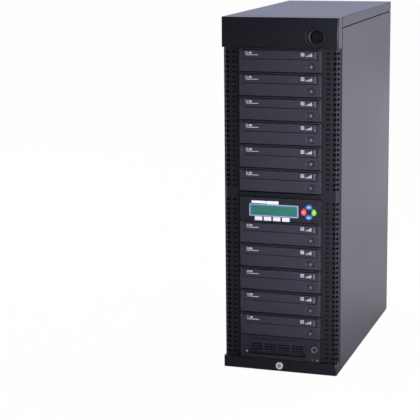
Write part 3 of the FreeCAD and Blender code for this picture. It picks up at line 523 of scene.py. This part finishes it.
def drive_print(number, top, ink):
    """Marks on one tray door: the drive's number over a rule, and disc symbols at the other end."""
    tool = bmesh.new()

    def bar(left, right, low, high, radius, steps=4, hole=None):
        slab(tool, rounded(left, right, low, high, radius, steps), DOOR_FACE, INK, hole)

    tall, bold = 3.2, 0.1
    digits(tool, "%02d" % number, tall, -61.4, top - 10.2, DOOR_FACE, INK, bold)
    bar(-55.4, -50.6, top - 10.1, top - 7.2, 0.4)
    bar(-61.0, -38.5, top - 12.8, top - 11.6, 0.5)
    x, z = 41.3, top - 10.1
    plate, window, rim, hub = 3.1, 2.2, 1.5, 0.5
    bar(x - plate, x + plate, z - plate, z + plate, 0.6, 5, circle(x, z, window))
    slab(tool, circle(x, z, rim, 20), DOOR_FACE, INK, circle(x, z, hub, 20))
    pitch, wide, rise = 3.0, 2.0, 1.5
    for step in range(4):
        left = 47.0 + pitch * step
        bar(left, left + wide, top - 13.8, top - 12.4 + rise * step, 0.4)
    spacing, thick, ragged = 1.2, 0.36, 0.4
    for line in range(8):
        low = top - 15.8 + spacing * line
        bar(62.2, 64.2 - ragged * (line % 3), low, low + thick, 0.1, 2)
    new_piece("drive_%02d_print" % number, tool, "drive_%02d_tray" % number, ink)


def eject_mark_and_highlight(number, ink):
    """Triangle over a bar printed on one eject button, right of its middle, where the pale ink is
    also a painted highlight on the button's dish.
    """
    button = "drive_%02d_button" % number
    face = span(button)[0].y
    # Right of the middle: the pale mark is partly print and partly a painted highlight
    x = middle(button).x + 0.6
    z = middle(button).z
    half = 1.7
    tool = bmesh.new()
    slab(tool, [(x - half, z + 0.1), (x + half, z + 0.1), (x, z + 2.1)], face, INK)
    slab(tool, rounded(x - half, x + half, z - 1.3, z - 0.6, 0.2), face, INK)
    new_piece("drive_%02d_eject_mark" % number, tool, button, ink)


def drive_lamps(lens):
    """Unlit lamp at the foot of each drive front."""
    dome = [(1.1, 0), (1.05, 0.25), (0.8, 0.45), (0.45, 0.55), (0, 0.6)]
    tool = bmesh.new()
    for top in DRIVE_TOPS:
        z = top - 31.4
        turned(tool, 47.0, z, drive_face(z) + 0.1, dome, 20)
    new_piece("drive_lamps", tool, "chassis", lens)


def release_holes(dark):
    """Pinhole of each drive's manual release, with its moulded collar, both in near-black painted
    shade that stands in for the hole.
    """
    collar = [(1.2, -0.02), (1.2, 0.12), (0.75, 0.16), (0.6, 0.02), (0, 0.02)]
    tool = bmesh.new()
    for top in DRIVE_TOPS:
        z = top - 33.4
        turned(tool, 30.0, z, drive_face(z), collar, 20)
    new_piece("release_holes", tool, "chassis", dark)


def control_marks(white, pale_blue, dark):
    """Bare header strip with a label beside it, and four numbered tags under the display."""
    header = bmesh.new()
    outline = rounded(-51.8, -24.7, CONTROL_TOP - 10.6, CONTROL_TOP - 6.2, 0.5)
    slab(header, outline, PANEL_FACE, 0.12)
    new_piece("header_strip", header, "chassis", pale_blue)
    pitch = 16.8
    tags = bmesh.new()
    label = rounded(-24.2, -2.2, CONTROL_TOP - 11.6, CONTROL_TOP - 5.8, 0.5)
    slab(tags, label, PANEL_FACE, LABEL)
    for tag in range(4):
        left = -46.0 + pitch * tag
        outline = rounded(left, left + 13.6, CONTROL_TOP - 41.6, CONTROL_TOP - 34.6, 0.8)
        slab(tags, outline, PANEL_FACE, LABEL)
    new_piece("write_on_tags", tags, "chassis", white)
    marks = bmesh.new()
    for tag in range(4):
        left = -40.2 + pitch * tag
        digits(marks, str(tag + 1), 3.0, left, CONTROL_TOP - 39.6, PANEL_FACE - LABEL, 0.03)
    new_piece("tag_numbers", marks, "chassis", dark)


def key_marks(ink):
    """Arrow, minus or bent-arrow sign on each of the four keys."""
    signs = {
        "key_up": [[(-2.4, -1.3), (2.4, -1.3), (0, 1.7)]],
        "key_down": [[(-2.4, 1.3), (0, -1.7), (2.4, 1.3)]],
        "key_cancel": [[(-1.9, -0.5), (1.9, -0.5), (1.9, 0.5), (-1.9, 0.5)]],
        "key_enter": [[(-1.8, 0), (0.3, -1.8), (0.3, 1.8)],
                      [(0.3, -0.5), (2.0, -0.5), (2.0, 0.5), (0.3, 0.5)]],
    }
    for name, outlines in signs.items():
        x, _, z = middle(name)
        tool = bmesh.new()
        for outline in outlines:
            points = [(x + across, z + up) for across, up in outline]
            slab(tool, points, span(name)[0].y, KEY_INK)
        new_piece(name + "_mark", tool, name, ink)


def rack_details(green, amber, steel):
    """Two lamps on the disk rack's frame and the screw that holds the front of its tray."""
    dome = [(1.3, 0), (1.25, 0.3), (0.9, 0.6), (0.5, 0.72), (0, 0.78)]
    for name, x, lens in (("rack_power_lamp", 60.0, green), ("rack_access_lamp", 69.0, amber)):
        tool = bmesh.new()
        turned(tool, x, RACK_TOP - 37.5, RACK_FACE + 0.05, dome)
        new_piece(name, tool, "chassis", lens)
    tool = bmesh.new()
    cross_head(tool, -62.0, RACK_TOP - 30.5, RACK_FACE, 1.7, 0.5, -1)
    new_piece("rack_tray_screw", tool, "rack_tray", steel)


def cap_details(ring_finish, bead_finish):
    """Sloping ring round the power button, and the fine bead across the cap at its level."""
    x, _, z = middle("power_button")
    face = span("bezel_cap")[0].y
    slope = [(14.7, -1.0), (14.7, 0.4), (14.3, 1.0), (13.7, 1.1), (11.5, 0.06), (11.45, -0.3)]
    ring = bmesh.new()
    turned(ring, x, z, face, slope, 48)
    new_piece("power_ring", ring, "chassis", ring_finish)
    end = 98.0
    clear = 19.6
    section = ((ROOT, -0.5), (0.2, -0.25), (0.25, 0.1), (ROOT, 0.5))
    bead = bmesh.new()
    for left, right in ((-end, x - clear), (x + clear, end)):
        first, second = [
            [bead.verts.new((at * MM, (face - out) * MM, (z + up) * MM)) for out, up in section]
            for at in (left, right)]
        band(bead, first, second)
        bead.faces.new(first)
        bead.faces.new(second)
    new_piece("cap_bead", bead, "chassis", bead_finish)


def fine_vents(dark):
    """Inner row of small blind vents beside the open ones on both columns."""
    pitch, margin = 8.8, 3.5
    wide, tall, edge = 2.9, 1.3, 0.4
    proud, bottom = 0.14, 0.01
    sill_top = span("bezel_sill")[1].z
    bar_low, bar_high = span("bezel_mid_bar")
    cap_bottom = span("bezel_cap")[0].z
    tool = bmesh.new()
    for low, high in ((sill_top, bar_low.z), (bar_high.z + 1.5, cap_bottom)):
        rows = int((high - low - 2 * margin + 0.01) // pitch)
        for row in range(rows):
            z = (low + high) / 2 + (row - (rows - 1) / 2) * pitch
            for x in (-85.0, 85.0):
                mouth = rounded(x - wide, x + wide, z - tall, z + tall, 0.5, 1)
                rim = rounded(x - wide - edge, x + wide + edge, z - tall - edge, z + tall + edge,
                              0.7, 1)
                slab(tool, rim, COLUMN_FACE, proud, mouth, bottom)
    new_piece("fine_vents", tool, "chassis", dark)


def vent_filters(foam):
    """Dust filter of dark foam behind the vents of each column, folded round the corner."""
    gap = COLUMN_WALL + 0.25
    thick = 2.4
    inner = 78.5
    outer = HALF_WIDTH - gap
    front = COLUMN_FACE + gap
    tail = front + 10.0
    section = [(inner, front), (outer - 4.0, front), (outer, front + 4.0), (outer, tail),
               (outer - thick, tail), (outer - thick, front + 5.0),
               (outer - 5.0, front + thick), (inner, front + thick)]
    steps = 40
    for name, side in (("left_vent_filter", -1), ("right_vent_filter", 1)):
        low, high = span("left_bezel_column" if side < 0 else "right_bezel_column")
        bottom, tall = low.z + 1.0, high.z - low.z - 2.0
        tool = bmesh.new()
        rows = []
        for step in range(steps + 1):
            z = (bottom + tall * step / steps) * MM
            rows.append([tool.verts.new((side * x * MM, y * MM, z)) for x, y in section])
        for first, second in zip(rows, rows[1:]):
            band(tool, first, second)
        tool.faces.new(rows[0])
        tool.faces.new(rows[-1])
        new_piece(name, tool, "chassis", foam)


def strip(name, x, y, z, foam):
    """Straight foam strip between pairs of planes."""
    tool = bmesh.new()
    verts = [tool.verts.new(Vector((at, depth, level)) * MM)
             for at in x for depth in y for level in z]
    sides = ((0, 1, 3, 2), (4, 5, 7, 6), (0, 1, 5, 4), (2, 3, 7, 6), (0, 2, 6, 4), (1, 3, 7, 5))
    for side in sides:
        tool.faces.new([verts[corner] for corner in side])
    new_piece(name, tool, "chassis", foam)


def shade_foam_strips(foam):
    """Dark foam in the slit under the upper drives, under the cover's skirts and behind the front:
    a near-black fill that stands in for the shade in these gaps.
    """
    bar_top = span("bezel_mid_bar")[1].z
    strip("bar_shade_foam", (-74.0, 74.0), (-215.0, -206.0), (bar_top, bar_top + SLIT),
          foam)
    low, high = span("right_side_panel")
    skirt = span("top_cover")[0].z
    x = high.x - 1.28, high.x - GROOVE_DEPTH
    y = low.y + 0.1, high.y - 4.5
    z = skirt - 1.78, skirt - SHADE_FOAM_PLAY
    strip("right_skirt_shade_foam", x, y, z, foam)
    strip("left_skirt_shade_foam", (-x[1], -x[0]), y, z, foam)
    x = high.x - 0.98, high.x - SHADE_FOAM_PLAY
    y = COLUMN_BACK + 0.05, low.y - 0.05
    z = low.z + 0.3, span("bezel_cap")[1].z - 1.0
    strip("right_front_shade_foam", x, y, z, foam)
    strip("left_front_shade_foam", (-x[1], -x[0]), y, z, foam)


def lock_collars(dark, bright):
    """Dark ring in the face round each key lock, painted shade that stands in for the shadow of its
    recess, and the raised ring on the rack lock's head.
    """
    collar = [(8.9, ROOT), (8.9, 0.35), (8.5, 0.6), (7.4, 0.6), (7.1, 0.35), (7.1, ROOT)]
    raised = [(5.8, ROOT), (5.7, 0.3), (5.4, 0.45), (3.9, 0.45), (3.6, 0.3), (3.5, ROOT)]
    sides = 40
    for lock, plate, slot in (("sill_key_lock", "bezel_sill", "front_plastic"),
                              ("rack_key_lock", "rack_frame", "panel_plastic")):
        x, _, z = middle(lock)
        tool = bmesh.new()
        turned(tool, x, z, span(plate)[0].y, collar, sides)
        new_piece(lock + "_collar", tool, "chassis", dark)
    x, _, z = middle("rack_key_lock")
    tool = bmesh.new()
    turned(tool, x, z, span("rack_key_lock")[0].y, raised, sides)
    new_piece("rack_key_lock_ring", tool, "rack_key_lock", bright)


def rear_screws(steel):
    """Low heads of the screws that hold the rear panel, the fan, the supply and the flanges."""
    tall = 0.9
    tool = bmesh.new()
    fan = middle("fan_frame")
    fan_hole = 52.5
    for x in (fan.x - fan_hole, fan.x + fan_hole):
        for z in (fan.z - fan_hole, fan.z + fan_hole):
            cross_head(tool, x, z, REAR_FACE, 3.4, tall, 1)
    low, high = span("supply_plate")
    inset = 7
    for x in (low.x + inset, high.x - inset):
        for z in (low.z + inset, high.z - inset):
            cross_head(tool, x, z, high.y, 3.2, tall, 1)
    low, high = span("rear_panel")
    for x in (low.x + 9, high.x - 9):
        for z in (low.z + 12, (low.z + high.z) / 2 + 90, high.z - 12):
            cross_head(tool, x, z, REAR_FACE, 3.0, tall, 1)
    new_piece("rear_screws", tool, "chassis", steel)


def soften(node, width, clamp, join):
    """Breaks the sharp edges of a solid, with its flat faces joined first, to catch the light."""
    modifiers = nodes[node].modifiers
    weld = modifiers.new("weld", "WELD")
    weld.merge_threshold = WELD * MM
    if join:
        flat = modifiers.new("flat", "DECIMATE")
        flat.decimate_type = "DISSOLVE"
        flat.angle_limit = math.radians(FLAT_ANGLE)
    edge = modifiers.new("edge", "BEVEL")
    edge.width = width * MM
    edge.segments = 2
    edge.limit_method = "ANGLE"
    edge.angle_limit = math.radians(SHARP_ANGLE)
    edge.use_clamp_overlap = clamp
    edge.harden_normals = True


def dress(finish, *names, edge=0.0, clamp=False, join=True):
    """Gives solids a finish and, where an edge is given, softened edges."""
    for name in names:
        for slot in nodes[name].material_slots:
            slot.material = finish
        if edge:
            soften(name, edge, clamp, join)


def world_light():
    """White background, with soft air and a brighter glow behind the tower in reflections."""
    world = bpy.data.worlds.new("studio")
    bpy.context.scene.world = world
    world.use_nodes = True
    tree = world.node_tree

    def mixed(factor, low, high):
        """Colour mix of two colours or sockets by a socket."""
        made = tree.nodes.new("ShaderNodeMix")
        made.data_type = "RGBA"
        tree.links.new(factor, made.inputs[0])
        for at, side in ((6, low), (7, high)):
            if isinstance(side, tuple):
                made.inputs[at].default_value = side
            else:
                tree.links.new(side, made.inputs[at])
        return made.outputs[2]

    path = tree.nodes.new("ShaderNodeLightPath")
    mirrored = tree.nodes.new("ShaderNodeMath")
    mirrored.operation = "MAXIMUM"
    tree.links.new(path.outputs["Is Glossy Ray"], mirrored.inputs[0])
    tree.links.new(path.outputs["Is Transmission Ray"], mirrored.inputs[1])
    heading = tree.nodes.new("ShaderNodeTexCoord")
    parts = tree.nodes.new("ShaderNodeSeparateXYZ")
    tree.links.new(heading.outputs["Generated"], parts.inputs[0])
    behind = tree.nodes.new("ShaderNodeMapRange")
    behind.inputs["From Min"].default_value = -0.5
    behind.inputs["From Max"].default_value = 0.6
    tree.links.new(parts.outputs[1], behind.inputs["Value"])
    backdrop = mixed(behind.outputs[0], (0.10, 0.105, 0.13, 1), (0.78, 0.82, 1.06, 1))
    air = mixed(mirrored.outputs[0], (0.20, 0.205, 0.23, 1), backdrop)
    sky = mixed(path.outputs["Is Camera Ray"], air, (1, 1, 1, 1))
    tree.links.new(sky, tree.nodes["Background"].inputs["Color"])


# Lamps: name, place, target, width and height in metres, then watts and spread in degrees
LAMPS = (
    ("overhead", (0.1, 0.1, 2.3), (0, 0, 0.3), (2.0, 2.0), 34, 180),
    ("right", (0.95, 0.5, 0.6), (0.1, 0.2, 0.3), (0.5, 0.5), 1.6, 180),
    ("right_rear", (0.30, 1.2, 0.13), (0.1, 0.2, 0.25), (0.2, 0.5), 0.05, 100),
    ("right_front", (0.28, -0.54, 0.33), (0.04, -0.22, 0.33), (0.3, 0.72), 1.3, 80),
    ("right_edge", (0.9, -0.42, 0.36), (0.1, -0.22, 0.34), (0.25, 0.7), 0.3, 60),
    ("front", (-0.7, -2.4, 1.5), (0, 0, 0.3), (1.6, 1.6), 1.5, 180),
    ("left_rear", (-1.8, 1.6, 1.2), (0, 0, 0.3), (1.4, 1.4), 16, 180),
)


def studio():
    """Soft lamps from above, the right, the front and the left rear."""
    scene = bpy.context.scene
    scene.view_settings.view_transform = "Standard"
    world_light()
    for name, place, target, size, power, spread in LAMPS:
        lamp = bpy.data.lights.new(name, "AREA")
        lamp.shape = "RECTANGLE"
        lamp.size, lamp.size_y = size
        lamp.energy = power
        lamp.spread = math.radians(spread)
        holder = bpy.data.objects.new(name, lamp)
        holder.location = place
        holder.visible_camera = False
        holder.rotation_mode = "QUATERNION"
        heading = Vector(target) - Vector(place)
        holder.rotation_quaternion = heading.to_track_quat("-Z", "Y")
        scene.collection.objects.link(holder)


def floor():
    """White floor that keeps a faint shadow, and looks dark before the tower in reflections."""
    tool = bmesh.new()
    bmesh.ops.create_grid(tool, x_segments=8, y_segments=8, size=14)
    mesh = bpy.data.meshes.new("floor")
    tool.to_mesh(mesh)
    tool.free()
    ground = bpy.data.objects.new("floor", mesh)
    bpy.context.scene.collection.objects.link(ground)
    finish = Finish("studio_floor", Roughness=0.9)
    finish.set(Base_Color=finish.mix(finish.noise(300), (0.86, 0.86, 0.86), (0.9, 0.9, 0.9)))
    path = finish.node("LightPath").socket.node
    watched = Value(finish, path.outputs["Is Camera Ray"])
    mirrored = Value(finish, path.outputs["Is Glossy Ray"])
    mirrored = mirrored + Value(finish, path.outputs["Is Transmission Ray"])
    radius = (finish.x ** 2 + finish.y ** 2) ** 0.5
    growth, start = 0.003, -0.65
    far = finish.node("Math", {"operation": "MULTIPLY_ADD", "use_clamp": True},
                      {0: radius, 1: growth, 2: start})
    behind = finish.node("MapRange", {},
                         {"Value": finish.y, "From Min": -250.0, "From Max": 350.0})
    lit = finish.node("Math", {"operation": "MAXIMUM"}, {0: far, 1: 1.0 - behind})
    seen = 0.98 * watched + 0.9 * mirrored * lit
    glimpse = finish.mix(behind, (0.12, 0.12, 0.15), (1.0, 0.97, 1.06))
    sight = finish.mix(watched, glimpse, (1, 1, 1))
    white = finish.node("Emission", {}, {"Color": sight, "Strength": 1.0})
    shaded = Value(finish, finish.shader.outputs[0])
    surface = finish.node("MixShader", {}, {0: seen, 1: shaded, 2: white})
    finish.fill(finish.tree.nodes["Material Output"], {"Surface": surface})
    mesh.materials.append(finish.material)


def camera():
    """The photograph's view: from the front, a little right of the tower and above it."""
    yaw, pitch, roll = map(math.radians, (18.297, 11.056, -0.602))
    level = math.cos(pitch)
    ahead = Vector((-math.sin(yaw) * level, math.cos(yaw) * level, -math.sin(pitch)))
    across = Vector((math.cos(yaw), math.sin(yaw), 0))
    upright = across.cross(ahead)
    right = across * math.cos(roll) + upright * math.sin(roll)
    up = upright * math.cos(roll) - across * math.sin(roll)
    view = bpy.data.cameras.new("view")
    view.sensor_width = 36
    view.lens = 121.47
    view.shift_y = -0.05
    holder = bpy.data.objects.new("view", view)
    holder.matrix_world = Matrix((right, up, -ahead)).transposed().to_4x4()
    holder.location = (0.6528, -2.5904, 0.8188)
    bpy.context.scene.collection.objects.link(holder)
    bpy.context.scene.camera = holder


def plain_plastic(name, dark, pale, *grades):
    """Moulded plastic between two screen colours, with its gloss, shine, grain and depth."""
    return moulded_plastic(name, colour(*dark), colour(*pale), *grades).material


# Finishes that several pieces share
paint = satin_paint()
front = plain_plastic("front_plastic", (14, 14, 17), (20, 20, 25), 0.30)
column = column_plastic()
drive = drive_plastic()
drive_button = moulded_plastic("eject_plastic", *DRIVE_TONES, 0.34, 0.3).material
panel = plain_plastic("panel_plastic", (28, 28, 33), (36, 36, 43), 0.40, 0.25)
rack = plain_plastic("rack_plastic", (31, 31, 37), (40, 40, 48), 0.36, 0.25)
tray = tray_plastic()
button = glossy_button()
zinc = zinc_sheet("zinc_sheet")
steel = lock_chrome("plated_steel")
foam = filter_foam()
white_ink = printed_ink("white_ink", colour(150, 151, 164), colour(186, 187, 200))
tag_white = printed_ink("tag_white", colour(196, 196, 204), colour(218, 218, 226))
strip_blue = printed_ink("strip_blue", colour(196, 208, 238), colour(230, 236, 250))
grey_ink = printed_ink("grey_ink", colour(110, 110, 122), colour(150, 150, 160))
# Near-black ink whose colour is painted shade: the shade in the release pinholes and in the recess
# round each key lock
pit = printed_ink("pit", colour(5, 5, 6), colour(14, 14, 16))

# Case and front
dress(paint, "left_side_panel", "right_side_panel", edge=0.45)
dress(paint, "top_cover", edge=0.3)
dress(zinc, "base_pan", "left_cage_wall", "right_cage_wall", "rear_panel", "supply_plate",
      "drive_casings")
dress(zinc_sheet("supply_zinc", INLET), "power_supply")
dress(front, "bezel_cap", "bezel_mid_bar", edge=0.4)
dress(front, "bezel_sill", edge=0.3)
dress(column, "left_bezel_column", "right_bezel_column")
dress(button, "power_button", "power_rocker", edge=0.4)
dress(foot_rubber(), "feet", edge=0.4)
dress(panel, "fan_frame", "fan_rotor")
lock = middle("sill_key_lock")
dress(lock_chrome("lock_chrome", (lock.x, lock.z, 2.1, 3.2)), "sill_key_lock", edge=0.3)

# Drives
dress(drive, "upper_drive_bezels", "lower_drive_bezels", edge=0.9, join=False)
for number, top in enumerate(DRIVE_TOPS, 1):
    dress(tray, "drive_%02d_tray" % number, edge=0.35)
    dress(drive_button, "drive_%02d_button" % number, edge=0.4)
    drive_print(number, top, white_ink)
    eject_mark_and_highlight(number, grey_ink)
drive_lamps(lamp_lens("idle_lens", colour(60, 62, 56), colour(96, 100, 84), 0.0))
release_holes(pit)

# Control panel
display = plain_plastic("display_plastic", (122, 132, 178), (150, 160, 206), 0.30, 0.4, 0.5, 0.02)
blue_key = plain_plastic("blue_key", (52, 92, 160), (78, 120, 190), 0.26)
red_key = plain_plastic("red_key", (204, 50, 72), (236, 84, 104), 0.26)
green_key = plain_plastic("green_key", (76, 162, 66), (106, 192, 92), 0.26)
dress(panel, "control_fascia", edge=0.35, clamp=True)
dress(display, "display_frame", edge=0.4, clamp=True, join=False)
dress(liquid_crystal(), "lcd_screen")
dress(blue_key, "key_up", "key_down", edge=0.4)
dress(red_key, "key_cancel", edge=0.4)
dress(green_key, "key_enter", edge=0.4)
dress(circuit_board(), "controller_board")
control_marks(tag_white, strip_blue, grey_ink)
key_marks(tag_white)

# Disk rack
dress(rack, "rack_frame", "rack_tray", "rack_handle", edge=0.4, clamp=True)
dress(dark_lock(), "rack_key_lock", edge=0.3)
dress(cast_alloy(), "hard_disk", edge=0.4)
rack_details(lamp_lens("green_lens", colour(8, 100, 44), colour(24, 140, 66), 0.45),
             lamp_lens("amber_lens", colour(130, 116, 16), colour(176, 158, 40), 0.4), steel)

# Small pieces on the front and the rear
lock_collars(pit, plain_plastic("lock_ring", (74, 74, 84), (96, 96, 106), 0.3, 0.4))
cap_details(plain_plastic("ring_plastic", (24, 24, 29), (32, 32, 38), 0.34, 0.25), front)
vent_filters(foam)
fine_vents(foam)
shade_foam_strips(foam)
rear_screws(steel)
studio()
floor()
camera()
